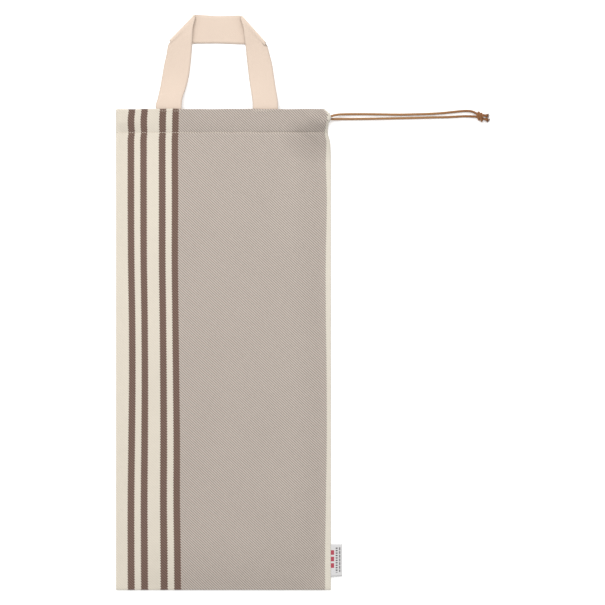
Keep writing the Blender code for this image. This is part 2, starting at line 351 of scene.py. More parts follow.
def plait_height(turn, along):
    """How high the braid stands, 0 to 1, at a share of a turn and a distance along."""
    one_way = (turn + along / PLAIT_PITCH) * PLAIT_YARNS
    other_way = (turn - along / PLAIT_PITCH) * PLAIT_YARNS
    on_top = np.where((np.floor(one_way) + np.floor(other_way)) % 2 < 0.5, one_way, other_way)
    return np.sin(np.pi * (on_top - np.floor(on_top)))


def carried_sides(points):
    """Two directions square to a line at each point, carried along without a twist."""
    ahead = np.gradient(points, axis=0)
    ahead /= np.linalg.norm(ahead, axis=1)[:, None]
    side = np.cross(ahead[0], (0.0, 0.0, 1.0))
    sides = []
    for direction in ahead:
        side = side - direction * (side @ direction)
        side = side / np.linalg.norm(side)
        sides.append(side)
    sides = np.array(sides)
    return sides, np.cross(ahead, sides)


def route_line(route, step):
    """Points about a step apart on a smooth curve through a route in mm."""
    knots = np.array(route, float) * MM
    along = lengths_along(knots)
    count = max(3, round(along[-1] / step)) + 1
    return smooth_through(along, knots, np.linspace(0, along[-1], count))


def braided(name, line, sides=24, ends_taper=0.0, flare=0.0):
    """A cord rolled round a line of points. With a flare, its last stretch opens out."""
    along = lengths_along(line)
    turn = np.linspace(0, 1, sides + 1)
    across, up = carried_sides(line)
    rise = plait_height(turn[None, :], along[:, None])
    reach = CORD / 2 * (1 - PLAIT_DEPTH * (1 - rise))
    if ends_taper:
        from_end = np.minimum(along, along[-1] - along)
        reach = reach * smooth_step(TAPER_TO + (1 - TAPER_TO) * from_end / ends_taper)[:, None]
    if flare:
        reach = reach * (1 + flare * smooth_step(1 - (along[-1] - along) / FLARE_LENGTH))[:, None]
    angle = 2 * math.pi * turn[None, :, None]
    around = across[:, None, :] * np.cos(angle) + up[:, None, :] * np.sin(angle)
    places = line[:, None, :] + reach[:, :, None] * around
    places[:, -1] = places[:, 0]
    return laid_grid(name, places, together(turn * math.pi * CORD, along[:, None]), capped=True)


# %% [markdown]
# ### Its colour
# The yarn is a warm tan, with painted shade between the yarns, so the braid is coloured by the same two
# counts that shape it. The cord is also coloured darker and redder towards the knot.


# %% Cord finish
CORD_TAN = (0.425, 0.218, 0.085)
CORD_LIGHT = (0.550, 0.305, 0.135)
CORD_SHADOW = (0.125, 0.050, 0.017)
# The cord is coloured darker and redder towards the knot, by its x on the piece.
KNOT_TONE_FROM = 285.0 * MM
KNOT_TONE_FULL = 352.0 * MM
KNOT_END_COLOUR = (0.73, 0.59, 0.48)
CORD_PLIES = 6
FIBRES_TO_A_METRE = 2200.0
FIBRE_SHARE = 0.35


def knot_end_tone(tree):
    """The cord's tone, darker and redder towards the knot."""
    share = (split(on_piece(tree))[0] - KNOT_TONE_FROM) / (KNOT_TONE_FULL - KNOT_TONE_FROM)
    share = calc("MINIMUM", calc("MAXIMUM", share, 0.0), 1.0)
    return mix_colour(share, (1.0, 1.0, 1.0), KNOT_END_COLOUR)


def cord_finish():
    finish, tree = new_finish("braided_cord", roughness=0.78, sheen=0.12)
    turns, along = cloth_marks(tree, math.pi * CORD / PLAIT_YARNS, PLAIT_PITCH / PLAIT_YARNS)
    one_way, other_way = turns + along, turns - along
    first_on_top = (calc("FLOOR", one_way) + calc("FLOOR", other_way)) % 2 < 0.5
    place = one_way * first_on_top + other_way * (1.0 - first_on_top)
    crown = calc("SINE", calc("FRACT", place) * math.pi)
    plies = calc("SINE", place * (CORD_PLIES * math.pi))
    fibres = noise(on_piece(tree), FIBRES_TO_A_METRE, 3.0)
    # Painted shade: the colour goes to the shadow colour where the braid dips between its yarns.
    colour = mix_colour(crown, CORD_SHADOW, CORD_TAN)
    colour = mix_colour(FIBRE_SHARE, colour, mix_colour(fibres, CORD_SHADOW, CORD_LIGHT))
    colour = times(colour, knot_end_tone(tree))
    return with_surface(finish, colour, plies * 0.5 + fibres, 0.12 * MM)


cord_brown = cord_finish()

# %% [markdown]
# ### The two free strands
# Both ends of the drawstring come out of the side of the casing, lie side by side on the table and run
# to one knot. Their routes are given as points, in mm.

# %% Free strands
FRONT_STRAND = (
    (149.6, 325, 8.3), (153.8, 326.5, 6.9), (159.2, 327.6, 5), (168, 328.2, 2.9),
    (178, 328.4, 1.9), (198.7, 328.4, 1.75), (222, 328.1, 1.75), (246.9, 327.8, 1.75),
    (270, 328.3, 1.75), (294.8, 329.2, 1.75), (308, 330.2, 1.75), (318.8, 331.3, 1.75),
    (330, 332.4, 1.8), (338.5, 332.9, 2.1), (344.5, 332.6, 2.6), (348.8, 331.5, 3.1), (351.6, 330.1, 3.6),
)
BACK_STRAND = (
    (149.8, 321.4, 4.5), (156, 321.4, 3.8), (164, 321.6, 2.6), (174, 321.6, 1.8),
    (190, 321.7, 1.75), (210, 322, 1.75), (230.8, 322.4, 1.75), (255, 322.9, 1.75),
    (278.8, 323.5, 1.75), (296, 323.9, 1.75), (310.9, 324.2, 1.75), (324, 324.9, 1.75),
    (335, 325.4, 1.8), (343, 325.4, 2.2), (351.3, 325, 2.8),
)
RING_STEP = 0.42 * MM

strands = []
for strand_name, route in (("front", FRONT_STRAND), ("back", BACK_STRAND)):
    strand_line = route_line(route, RING_STEP)
    strand = braided("drawstring_" + strand_name + "_braid", strand_line)
    dress(strand, cord_brown, "cord", "drawstring_" + strand_name)
    strands.append((strand, strand_line))
    print(f"{strand_name} strand: {lengths_along(strand_line)[-1] / MM:.0f} mm free")

# %% [markdown]
# ### The knot
# The two strands are tied together in one overhand knot. Only its outside shows, so it is made as two
# short cords through the middle and one slanting coil that winds a little over twice round them.

# %% Knot
knot_low, knot_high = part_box("drawstring_knot")
KNOT_MIDDLE = np.array((knot_low + knot_high) / 2)
KNOT_TURNS = 2.1
KNOT_WIDE = 5.6 * MM
KNOT_HIGH = 3.05 * MM
KNOT_ADVANCE = 3.9 * MM
KNOT_SLOPE = math.radians(-24)
WRAP_TILT = math.radians(12)
COIL_POINTS = 190
COIL_STARTS_AT = math.radians(72)
COIL_DRAWS_IN = 0.08
KNOT_CORES = (
    (FRONT_STRAND[-1], (354.4, 328.6, 4.5), (357.8, 327.3, 5), (361.6, 326.8, 4.5), (364.3, 326.7, 3.7)),
    (BACK_STRAND[-1], (354, 324.5, 4.2), (357.4, 323.6, 5), (361.2, 322.4, 4.4), (364.3, 321.4, 3.5)),
)


def knot_coil():
    """The line of the cord that winds round the pair, from left to right."""
    turns = np.linspace(-KNOT_TURNS / 2, KNOT_TURNS / 2, COIL_POINTS)
    angle = 2 * math.pi * turns + COIL_STARTS_AT
    ease = 1 - COIL_DRAWS_IN * (np.abs(turns) / (KNOT_TURNS / 2)) ** 3
    sway = KNOT_WIDE * np.cos(angle) * ease
    lift = KNOT_HIGH * np.sin(angle) * ease
    ahead = KNOT_ADVANCE * turns
    x = ahead * math.cos(KNOT_SLOPE) - sway * math.sin(WRAP_TILT)
    y = ahead * math.sin(KNOT_SLOPE) + sway * math.cos(WRAP_TILT)
    return KNOT_MIDDLE + together(x, y, lift)


def join_pieces(name, parts):
    """One mesh from several, with the parts' own objects removed."""
    bm = bmesh.new()
    for part in parts:
        bm.from_mesh(part.data)
        bpy.data.objects.remove(part)
    return finished_mesh(name, bm)


knot_parts = [braided("knot_coil", knot_coil(), sides=20, ends_taper=2.0 * MM)]
for number, route in enumerate(KNOT_CORES):
    knot_parts.append(braided(f"knot_core_{number}", route_line(route, RING_STEP)))
knot = dress(join_pieces("drawstring_knot_tied", knot_parts), cord_brown, "cord", "drawstring_knot")
print("knot, mm:", in_mm(knot.dimensions))

# %% [markdown]
# ### The cut ends
# Past the knot each end is a short stub that was cut with scissors. A cut braid opens, so some dozens
# of loose fibres stand out of each end.

# %% Stubs and loose fibres
STUBS = (
    ("upper", ((362.4, 326.7, 4.2), (364.4, 326.5, 3.6), (366.4, 326.1, 3.3), (368.2, 326.3, 3.2)), 0.50),
    ("lower", ((362.4, 322.1, 4.0), (364.6, 321.4, 3.3), (366.8, 321.0, 3.1), (368.6, 320.4, 3.0)), 0.35),
)
FIBRES = 90
FIBRE_LENGTH = 3.0 * MM
FIBRE_ROOT = 0.9 * MM
FIBRE_THICK, FIBRE_TIP = 0.20 * MM, 0.08 * MM
FIBRE_SPREAD = 0.5
fray = np.random.default_rng(11)


def lay_along(bm, made, direction, middle):
    """Turns a new upright shape to a direction, and moves it to its place."""
    turn = direction.to_track_quat("Z", "Y").to_matrix().to_4x4()
    bmesh.ops.transform(bm, matrix=turn, verts=made["verts"])
    bmesh.ops.translate(bm, vec=middle, verts=made["verts"])


def loose_fibres(name, line):
    """Thin fibres that stand out of the end of a cut cord."""
    bm, _ = new_mesh()
    end = Vector(line[-1])
    ahead = Vector(line[-1] - line[-4]).normalized()
    for _ in range(FIBRES):
        direction = (ahead + Vector(fray.normal(size=3)) * FIBRE_SPREAD).normalized()
        start = end + Vector(fray.normal(size=3)) * CORD * 0.36 - ahead * FIBRE_ROOT
        length = FIBRE_LENGTH * fray.uniform(0.45, 1.0)
        made = bmesh.ops.create_cone(
            bm, segments=5, radius1=FIBRE_THICK, radius2=FIBRE_TIP, depth=length, cap_ends=True
        )
        middle = start + direction * length / 2
        middle.z = max(middle.z, 0.5 * MM + abs(direction.z) * length / 2)
        lay_along(bm, made, direction, middle)
    return finished_mesh(name, bm)


stubs = []
for stub_name, route, opening in STUBS:
    stub_line = route_line(route, RING_STEP)
    stub_parts = [braided("stub", stub_line, flare=opening), loose_fibres("fibres", stub_line)]
    stub = join_pieces("drawstring_stub_" + stub_name, stub_parts)
    stubs.append(dress(stub, cord_brown, "cord", "drawstring_end_" + stub_name))

for (strand, strand_line), carried in zip(strands, ([knot, *stubs], [knot])):
    strand_line[::4].tolist() + [strand_line[-1].tolist()]

# %% [markdown]
# ## The bag's cloth
# The bag is one cloth that goes from the bottom seam up the outside, over the mouth's edge and down the
# inside as a turned hem. Flat plates would give hard edges, so the cloth is a single grid that wraps
# round a table of sections. Each says how far the front stands above the back at the fold, at the seam
# and between them. The frame's solid has the same sizes, so the two agree.

# %% Sections of the bag
CLOTH = 1.0 * MM
BAG_WIDTH = 300.0 * MM
LEFT_EDGE = -BAG_WIDTH / 2
SHOULDER = 50.0 * MM
CASING_SPACE = 4.0 * MM
SLIT_ROOM = 4.0 * MM
Section = namedtuple("Section", "right left_rise right_rise middle_rise hem_inset")
# Each row, in mm: how far along the bag, and the five sizes of a section there.
SECTIONS = (
    (-332.5, 150, 2.4, 2.4, 3.2, 0),
    (-324, 150, 2.4, 2.4, 5.6, 0),
    (-308, 150, 2.4, 2.4, 9, 0),
    (-284, 150, 2.4, 2.4, 12, 0),
    (-245, 150, 2.4, 2.4, 13, 0),
    (-160, 150, 2.4, 2.4, 13.1, 0),
    (40, 150, 2.4, 2.4, 13, 0),
    (140, 150, 2.6, 2.4, 13.1, 0),
    (210, 150, 3.4, 2.8, 13.4, 0),
    (255, 150, 5, 3.6, 14, 0),
    (280, 149.5, 6.6, 4.4, 14.6, 0),
    (292, 148.4, 7.8, 5, 14.9, 0),
    (299, 146.2, 8.6, 5.6, 15.1, 0),
    (304.9, 145.6, 9.4, 6.4, 15.3, 1.3),
    (309, 145.9, 10.6, 8.6, 15.5, 2),
    (313.5, 146.5, 11.8, 11.2, 15.6, 3.6),
    (317.2, 147.2, 12.6, 12.6, 15.6, 4.7),
    (320.2, 151.2, 12.6, 12.6, 15.6, 5),
    (323.5, 152.2, 12.6, 12.6, 15.6, 5),
    (326.6, 151.4, 12.6, 12.6, 15.6, 5),
    (329.6, 147.6, 12.6, 12.6, 15.6, 4.4),
    (332, 145.2, 12.6, 12.6, 15.6, 3),
    (334, 142.4, 12.4, 12.4, 15.6, 2),
)
STITCH_LINE = 302.7 * MM
STITCH_SLANT = 0.001
HEM_END = 301.4 * MM
SLIT_FROM = 318.6 * MM
SLIT_TO = 328.6 * MM
MOUTH_LINE = 334.0 * MM
BOTTOM_LINE = -332.5 * MM
BOTTOM_SEAM = -335.0 * MM


def stitch_line(x):
    """Where the casing's stitches run: a little nearer the mouth on the right."""
    return STITCH_LINE + STITCH_SLANT * x


def section_at(along):
    """The section's sizes in metres at a distance along the bag."""
    table = np.array(SECTIONS) * MM
    return Section(*smooth_through(table[:, 0], table[:, 1:], along)[0])


def front_rise(section, x):
    """How far the front stands above the back at x, middle to middle of the cloth."""
    left_end = LEFT_EDGE + CLOTH / 2 + section.left_rise / 2
    right_end = section.right - CLOTH / 2 - section.right_rise / 2
    rise = section.middle_rise
    left_drop = (rise - section.left_rise) * (1 - smooth_step((x - left_end) / SHOULDER))
    right_drop = (rise - section.right_rise) * (1 - smooth_step((right_end - x) / SHOULDER))
    return rise - left_drop - right_drop


print("front at the middle of the bag, mm:", round(front_rise(section_at(0.0), 0.0) / MM, 1))

# %% [markdown]
# ### Creases and puckers
# A cloth from a drawer is never quite flat. It has a few soft creases, listed one by one, a shallow
# groove where the casing is stitched down, and small puckers along that row, because the thread is a
# little tighter than the cloth. All of them are added to the height of the front.

# %% Relief of the front
# Each row: where a crease starts, bends and ends, its depth and its width, all in mm.
CREASES = (
    ((101, 304.5), (119, 298), (132.5, 277), 2.1, 4.6),
    ((101.5, 333), (111, 325), (121.5, 312), 1.4, 4.6),
    ((133.9, 334), (139.5, 329), (143.9, 322), 1.3, 3),
    ((118, 297), (131, 286), (142, 268), 1.5, 5),
    ((114.5, 330), (111.5, 325.5), (106.5, 319.5), 0.7, 2.6),
    ((136.3, 329), (136.6, 326.5), (136.4, 324), 0.9, 2.8),
    ((136, 303.5), (137.2, 299.5), (136, 295), 0.9, 3.2),
    ((89, -122.6), (116, -121.4), (142, -122.8), 0.32, 2.6),
    ((-98, 301), (-92, 292), (-90, 280), 0.5, 4.5),
    ((-12, 302), (-8, 292), (-9, 282), 0.4, 5),
    ((46, 302), (52, 290), (50, 276), 0.5, 5.5),
    ((70, -300), (100, -306), (136, -300), 0.6, 9),
    ((-126, -292), (-90, -300), (-46, -294), 0.4, 9),
)
SWELL_ACROSS, SWELL_ALONG, SWELL_FINE = 0.22 * MM, 0.20 * MM, 0.10 * MM
SIDE_TROUGH = 0.55 * MM
SIDE_TROUGH_IN = 15.0 * MM
SIDE_TROUGH_WIDTH = 7.0 * MM
GROOVE_DEPTH = 0.9 * MM
GROOVE_WIDTH = 1.6 * MM
PUCKER = 0.24 * MM
PUCKER_REACH = 11.0 * MM
CASING_PUFF = 0.5 * MM
# The numbers in the sines are waves in 2 pi metres, chosen so that no swell repeats.


def crease_drop(crease, x, along):
    """How far one crease lowers the cloth. It dies out at both ends."""
    start, bend, end = (np.array(point) * MM for point in crease[:3])
    depth, width = crease[3] * MM, crease[4] * MM
    nearest = np.full(x.shape, np.inf)
    place = np.zeros(x.shape)
    for t in np.linspace(0, 1, 15):
        point = start * (1 - t) ** 2 + bend * 2 * t * (1 - t) + end * t * t
        away = np.hypot(x - point[0], along - point[1])
        place = np.where(away < nearest, t, place)
        nearest = np.minimum(nearest, away)
    fade = 0.35 + 0.65 * np.sin(np.pi * place)
    return depth * fade * np.exp(-((nearest / width) ** 2))


def relief(x, along, right):
    """What the front's height gains or loses at x, at a distance along the bag."""
    height = SWELL_ACROSS * np.sin(x * 52 + 1.3 * np.sin(along * 21) + 0.6)
    height += SWELL_ALONG * np.sin(along * 37 + 1.1 * np.sin(x * 33) + 2.0)
    height += SWELL_FINE * np.sin(x * 118 + along * 63) * np.sin(along * 71 - x * 40 + 1.0)
    from_stitches = along - stitch_line(x)
    groove = np.exp(-((from_stitches / GROOVE_WIDTH) ** 2))
    uneven = 0.4 + 0.8 * smooth_step((x + 10 * MM) / (110 * MM))
    uneven = uneven + 0.15 * np.sin(x * 131) + 0.1 * np.sin(x * 47 + 2)
    height -= GROOVE_DEPTH * groove * uneven
    pucker = np.sin(x * 590 + 2 * np.sin(x * 90)) + 0.8 * np.sin(x * 370 + 1.0)
    height += PUCKER * pucker * np.exp(-np.abs(from_stitches) / PUCKER_REACH)
    into_casing = np.clip(from_stitches / (MOUTH_LINE - STITCH_LINE), 0, 1)
    height += CASING_PUFF * np.sin(math.pi * into_casing)
    for crease in CREASES:
        height -= crease_drop(crease, x, np.full(x.shape, along))
    trough = np.exp(-(((right - SIDE_TROUGH_IN - x) / SIDE_TROUGH_WIDTH) ** 2))
    height -= SIDE_TROUGH * trough * (1 + 0.4 * math.sin(along * 29) + 0.3 * math.sin(along * 61 + 1))
    edge = smooth_step((x - LEFT_EDGE - 3 * MM) / (20 * MM)) * smooth_step((right - 4 * MM - x) / (12 * MM))
    bottom = smooth_step((along - BOTTOM_LINE) / (22 * MM))
    return height * edge * bottom


print(f"{len(CREASES)} creases placed by hand")

# %% [markdown]
# ### Where the stripes lie
# The cloth map counts from the fold on the left. Nobody cuts quite along a thread: the stripes drift
# about a millimetre to and fro, and open out a little towards the bottom. The drift is a short table.

# %% Drift of the grain
# Each row: how far along the bag, and the drift of the first stripe, the last stripe and the seam strip.
DRIFT = (
    (-335, -0.6, 2.2, -1.7),
    (-293.5, -0.7, 2, -1.8),
    (-209.8, -0.6, 1, -0.4),
    (-126.2, 0.4, 1, 1),
    (-42.5, 1.4, 0, 0.8),
    (41.2, 1.2, -1, -0.4),
    (124.9, -0.1, -1.8, -0.6),
    (208.6, -0.6, -1.5, 1.1),
    (278.3, -0.5, -1.7, 0.6),
    (294, -0.4, -1.6, 2.6),
    (303.5, 0.5, -1.2, 4.6),
    (311, -0.2, -1, 5.2),
    (317, -0.4, -0.9, 3.6),
    (323.5, -0.2, -0.8, -1),
    (329, 0.5, -0.7, 2.8),
    (332, 0.9, -0.6, 4.8),
    (335, 1.1, -0.5, 4.6),
)
DRIFT_PLACES = (0.0, 17.0, 88.0, 268.0, 293.0, 300.0)


def grain_drift(from_fold, along):
    """How far the threads lie to the right of their place on an even cloth."""
    table = np.array(DRIFT) * MM
    first, last, seam = smooth_through(table[:, 0], table[:, 1:], along)[0]
    return np.interp(from_fold, np.array(DRIFT_PLACES) * MM, (0.0, first, last, last / 2, seam, 0.0))


# %% [markdown]
# ### Wrapping the grid round the sections
# One row of the grid runs from the right seam over the front to the fold, and back underneath. Front
# and back have the same columns, so that they weld together at the bottom seam.

# %% One row round the bag
TURN_STEP = 15
FRONT_COLUMNS = 66
turn_angles = np.arange(0, 90, TURN_STEP)
shares = np.linspace(0, 1, FRONT_COLUMNS + 1)
SLIT_COLUMNS = 45 // TURN_STEP
GATHERED_OVER = 24.0 * MM


def row_round(section, inset, along):
    """x, z and distance from the fold (negative at the back) of one row's points."""
    left_radius, right_radius = section.left_rise / 2, section.right_rise / 2
    left_end = LEFT_EDGE + CLOTH / 2 + left_radius
    right_end = section.right - CLOTH / 2 - right_radius - SLIT_ROOM * inset / (CLOTH + CASING_SPACE)
    across = right_end + (left_end - right_end) * shares
    front = front_rise(section, across) - inset + relief(across, along, section.right)
    gathered = BAG_WIDTH - (section.right - LEFT_EDGE)
    from_fold = across - LEFT_EDGE + gathered * smooth_step(1 + (across - right_end) / GATHERED_OVER)

    def turned(end, radius, side, angles):
        bend = np.radians(angles)
        return end + side * (radius - inset) * np.cos(bend), radius + (radius - inset) * np.sin(bend)

    near_fold = from_fold[-1] * turn_angles[::-1] / 90
    near_seam = from_fold[0] + (BAG_WIDTH - from_fold[0]) * (1 - turn_angles / 90)
    under = -turn_angles[1:]
    parts = (
        (*turned(right_end, right_radius, 1, turn_angles), near_seam),
        (across, front, from_fold),
        (*turned(left_end, left_radius, -1, turn_angles[::-1]), near_fold),
        (*turned(left_end, left_radius, -1, under), -from_fold[-1] * turn_angles[1:] / 90),
        (across[::-1], np.full(across.shape, inset), -from_fold[::-1]),
        (*turned(right_end, right_radius, 1, -turn_angles[::-1]), -near_seam[::-1]),
    )
    x, z, marks = (np.concatenate(column) for column in zip(*parts))
    drifted = np.sign(marks) * (np.abs(marks) - grain_drift(np.abs(marks), along))
    return x, CLOTH / 2 + z, drifted


# %% [markdown]
# The rows lie closer at the stitched groove, at the slit and over the mouth's edge, where the cloth
# bends most. At the bottom seam the last rows close to a rounded edge.

# %% All the rows, and the cloth itself
FOLD_ANGLES = (22.5, 45, 67.5, 90, 112.5, 135, 157.5)
NOSE_ANGLES = (0, 20, 40, 60, 78)


def stretch_of_rows(start, stop, step):
    count = max(1, round(abs(stop - start) / step))
    return list(np.linspace(start, stop, count, endpoint=False))


def outside_rows():
    """Distances along the bag from the bottom line to the mouth line."""
    stations = ((BOTTOM_LINE, 4.2), (278 * MM, 2.0), (300 * MM, 0.65), (308 * MM, 1.5),
                (SLIT_FROM, 1.1), (SLIT_TO, 1.1), (MOUTH_LINE, 1.0))
    rows = []
    for (start, step), (stop, _) in zip(stations, stations[1:]):
        rows += stretch_of_rows(start, stop, step * MM)
    return rows + [MOUTH_LINE]


def bag_rows():
    """For each row: its points' x, y and z, and their marks across and along the cloth."""
    rows = []
    nose_middle = CLOTH / 2 + section_at(BOTTOM_LINE).left_rise / 2
    x, z, marks = row_round(section_at(BOTTOM_LINE), 0.0, BOTTOM_LINE)
    for angle in np.radians(NOSE_ANGLES):
        along = BOTTOM_LINE + (BOTTOM_SEAM - BOTTOM_LINE) * math.cos(angle)
        rows.append((x, along, nose_middle + (z - nose_middle) * math.sin(angle), marks, along))
    for along in outside_rows():
        x, z, marks = row_round(section_at(along), 0.0, along)
        rows.append((x, along, z, marks, along))
    top = section_at(MOUTH_LINE)
    half = top.hem_inset / 2
    for bend in np.radians(FOLD_ANGLES):
        x, z, marks = row_round(top, half * (1 - math.cos(bend)), MOUTH_LINE)
        ripple = 0.25 * MM * np.sin(x * 61) + 0.15 * MM * np.sin(x * 173 + 1)
        along = MOUTH_LINE + (half + ripple) * math.sin(bend)
        rows.append((x, along, z, marks, MOUTH_LINE + half * bend))
    for along in stretch_of_rows(MOUTH_LINE, HEM_END, 2.0 * MM) + [HEM_END]:
        section = section_at(along)
        x, z, marks = row_round(section, section.hem_inset, along)
        rows.append((x, along, z, marks, MOUTH_LINE + half * math.pi + MOUTH_LINE - along))
    return rows


def make_bag():
    rows = bag_rows()
    places = np.array([together(*row[:3]) for row in rows])
    marks = np.array([together(*row[3:]) for row in rows])
    columns = places.shape[1] - 1
    outside = [row[1] for row in rows[:len(NOSE_ANGLES) + len(outside_rows())]]

    def in_slit(row, column):
        if row >= len(outside) - 1:
            return False
        level = (outside[row] + outside[row + 1]) / 2
        at_seam = column < SLIT_COLUMNS or column >= columns - SLIT_COLUMNS
        return at_seam and SLIT_FROM < level < SLIT_TO

    return thicken(laid_grid("bag_cloth", places, marks, left_out=in_slit), CLOTH)


bag_cloth = make_bag()
print(f"bag cloth: {len(bag_cloth.data.vertices)} points, {in_mm(bag_cloth.dimensions)} mm")

# %% [markdown]
# ### Striped twill
# The cloth is a two-over-two twill of yarn about a millimetre thick. In its wide taupe part the warp is
# pale and the weft dark, so the diagonal lines show. In the brown and the ecru stripes both are nearly
# the same colour, so mostly the relief of the yarn shows. A colour ramp would be the usual way to draw
# stripes, but it is stored in 256 steps, too coarse for an edge on 300 mm. So each edge is one
# comparison with the distance to the fold, and it steps with the twill. The casing is painted a little
# darker than the cloth below it, and so is a soft patch of cloth by the slit: both are painted shade.

# %% Twill finish
TWILL_ACROSS = 0.95 * MM
TWILL_ALONG = 0.90 * MM
YARN_SPREAD = 0.09
TONE_CHANGES = 0.06
STITCH_PITCH = 3.5 * MM
FIRST_STITCH = 4.25 * MM
HOLE_REACH = 0.55 * MM
HOLE_SHARE = 0.13
HOLE_SHADE_STRENGTH = 0.55
HOLE_SHADE_COLOUR = (0.12, 0.09, 0.07)
CASING_SHADE = 0.935
SLIT_SHADE_AT = (0.286, 0.294)
SLIT_SHADE_REACH = (0.058, 0.036)
SLIT_PAINTED_SHADE = 0.87
EDGE_STEP = 0.40 * MM
WARP_COLOURS = {
    "ecru": (0.640, 0.585, 0.497),
    "brown": (0.112, 0.067, 0.053),
    "taupe": (0.520, 0.454, 0.398),
    "strip": (0.642, 0.598, 0.515),
}
WEFT_COLOURS = {
    "ecru": (0.596, 0.541, 0.456),
    "brown": (0.184, 0.120, 0.094),
    "taupe": (0.258, 0.224, 0.199),
    "strip": (0.594, 0.550, 0.470),
}
EDGES = (
    ("brown", 17.1), ("ecru", 26.5), ("brown", 35.1), ("ecru", 44.4), ("brown", 61.3), ("ecru", 70.8),
    ("brown", 79.5), ("taupe", 88.8), ("strip", 293.1),
)


def striped(from_fold, colours):
    """The threads' colour by their distance from the fold, in metres."""
    colour = colours["ecru"]
    for name, start in EDGES:
        colour = mix_colour(from_fold > start * MM, colour, colours[name])
    return colour


def thread_tone(thread, length):
    """A brightness for each thread, which changes slowly along it."""
    counts = (calc("FLOOR", thread), length * TONE_CHANGES)
    own = noise(new_node("ShaderNodeCombineXYZ", counts, (0, 1))[0], 1.0, 2.0)
    return spread_between(own, 1 - YARN_SPREAD, 1 + YARN_SPREAD)


def needle_holes(across, along):
    """1 on the small holes between the casing's stitches, else 0."""
    line = calc("MULTIPLY_ADD", across, STITCH_SLANT, STITCH_LINE + LEFT_EDGE * STITCH_SLANT)
    beside = calc("FRACT", (across - FIRST_STITCH) / STITCH_PITCH) - 0.5
    near_line = calc("ABSOLUTE", along - line) < HOLE_REACH
    return near_line * (calc("ABSOLUTE", beside) < HOLE_SHARE)


def painted_slit_shade(across, along):
    """A soft patch of painted shade by the slit."""
    aside = (across - SLIT_SHADE_AT[0]) / SLIT_SHADE_REACH[0]
    ahead = (along - SLIT_SHADE_AT[1]) / SLIT_SHADE_REACH[1]
    share = calc("MAXIMUM", 1.0 - (aside * aside + ahead * ahead), 0.0)
    return spread_between(share, 1.0, SLIT_PAINTED_SHADE)


def twill_finish():
    finish, tree = new_finish("striped_twill", roughness=0.92, sheen=0.08)
    across, along = cloth_marks(tree, TWILL_ACROSS, TWILL_ALONG)
    warp_on_top, height = weave(across, along, floats=2)
    from_fold = calc("ABSOLUTE", across) * TWILL_ACROSS
    level = along * TWILL_ALONG
    stepped = from_fold + spread_between(warp_on_top, -EDGE_STEP, EDGE_STEP)
    warp = times(striped(stepped, WARP_COLOURS), thread_tone(across, along))
    weft = times(striped(stepped, WEFT_COLOURS), thread_tone(along, across))
    colour = mix_colour(warp_on_top, weft, warp)
    # Painted shade: the colour is darker where a yarn dips under its crossing threads.
    colour = times(colour, spread_between(height, 0.86, 1.04))
    colour = times(colour, spread_between(noise(on_piece(tree), 14.0, 3.0), 0.97, 1.03))
    # Painted shade: the casing is a little darker than the cloth below it.
    colour = times(colour, spread_between(level > STITCH_LINE, 1.0, CASING_SHADE))
    # Painted shade: a soft darker patch by the slit.
    colour = times(colour, painted_slit_shade(from_fold, level))
    # Painted shade: the needle holes are dark dots painted between the stitches, not cut in the cloth.
    colour = mix_colour(needle_holes(from_fold, level) * HOLE_SHADE_STRENGTH, colour, HOLE_SHADE_COLOUR)
    return with_surface(finish, colour, height, 0.20 * MM)


dress(bag_cloth, twill_finish(), "cloth", "bag_body")

# %% [markdown]
# ### The cord inside the casing
# The rest of the drawstring lies in the casing and shows only through the slit at the side. It is the
# same braid, with fewer sides, and follows the frame's loop: across the front, round the fold and back.

# %% Cord in the casing
LOOP_FRONT_ENTRY = ((149.2, 324.9, 8.4), (145.2, 324.3, 9.4), (141.0, 323.8, 10.2))
LOOP_BACK_ENTRY = ((149.2, 321.4, 4.55), (145.2, 321.8, 4.4), (141.0, 322.6, 3.6))
LOOP_ALONG = 323.2
LOOP_TURN = 136.0
LOOP_COLUMNS = 24
LOOP_CLEAR = 0.3 * MM


def casing_route():
    """The route of the hidden stretch, in mm."""
    level = section_at(321 * MM)
    inset = CLOTH / 2 + LOOP_CLEAR + CORD / 2
    radius = level.left_rise / 2
    left_end = LEFT_EDGE + CLOTH / 2 + radius
    across = np.linspace(LOOP_TURN * MM, left_end, LOOP_COLUMNS + 1)
    bend = np.radians((60, 30, 0, -30, -60))
    round_fold = left_end - (radius - inset) * np.cos(bend)
    front = front_rise(level, across) - inset
    fold = radius + (radius - inset) * np.sin(bend)
    x = np.concatenate([across, round_fold, across[::-1]])
    z = CLOTH / 2 + np.concatenate([front, fold, np.full(across.shape, inset)])
    return [*LOOP_FRONT_ENTRY, *together(x / MM, LOOP_ALONG, z / MM), *reversed(LOOP_BACK_ENTRY)]


casing_line = route_line(casing_route(), 0.9 * MM)
casing_cord = braided("drawstring_casing_braid", casing_line, sides=12)
dress(casing_cord, cord_brown, "cord", "drawstring_casing")
print(f"cord in the casing: {lengths_along(casing_line)[-1] / MM:.0f} mm")

# %% [markdown]
# ## The handle
# The handle is one length of cotton webbing. Its middle lies flat, it turns over on itself along a
# slanted fold at each corner, and both ends go down inside the mouth, where they are stitched to the
# hem. It is laid out as lines across it, and a smooth sheet runs through them.

# %% Lines across the webbing
WEBBING = 1.5 * MM
FOLD_RADIUS = 0.9 * MM
GAP = 0.3 * MM
